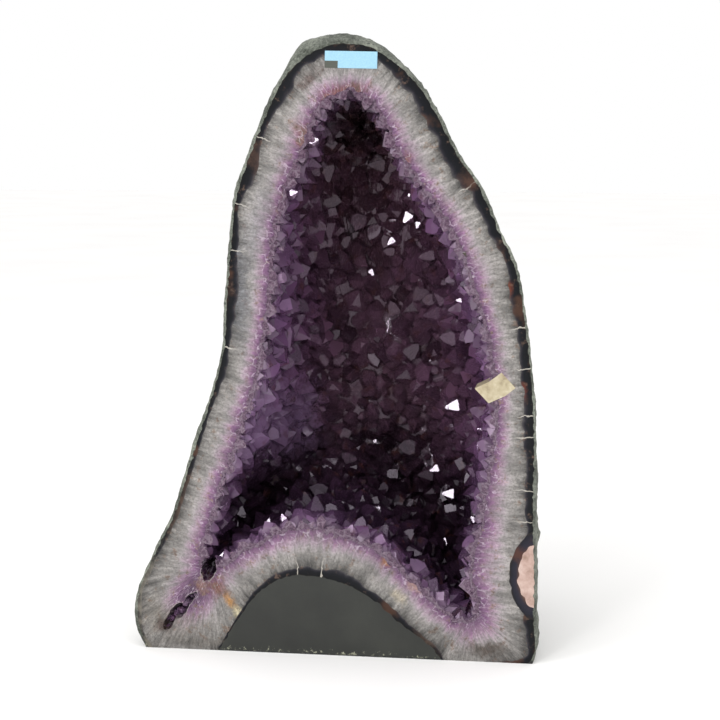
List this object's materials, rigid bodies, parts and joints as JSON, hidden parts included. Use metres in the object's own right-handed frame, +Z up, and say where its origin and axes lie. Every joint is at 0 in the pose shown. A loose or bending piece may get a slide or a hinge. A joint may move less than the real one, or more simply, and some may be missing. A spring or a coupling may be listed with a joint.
{
  "type": "amethyst geode",
  "caption": "Standing geode, sawn flat at the front and underneath, with a rough rind and a deep hollow lined with purple crystal points.",
  "frame": {"origin": "middle of the sawn base, on the surface it stands on", "axes": "+Z up, polished face looks along -Y, +X to the right as seen from the front"},
  "size_m": [0.3288, 0.2058, 0.4899],
  "materials": {
    "basalt": "rough grey-green rock skin, sawn smooth where it meets the face and the base",
    "agate": "polished near-black agate with brown patches and thin pale veins",
    "quartz": "polished milky grey quartz in radial columns, lavender towards the hollow",
    "amethyst": "glassy purple crystal, clear towards the tips",
    "calcite": "satin cream crystal",
    "pink_nodule": "matt peach-pink stone",
    "paper": "pale blue paper, blank but for one plain dark block"
  },
  "bodies": {
    "root": {"basalt_rind": "basalt", "agate_skin": "agate", "quartz_wall": "quartz", "amethyst_bed": "amethyst", "calcite_crystal": "calcite", "pink_nodule": "pink_nodule", "paper_label": "paper"}
  },
  "joints": []
}
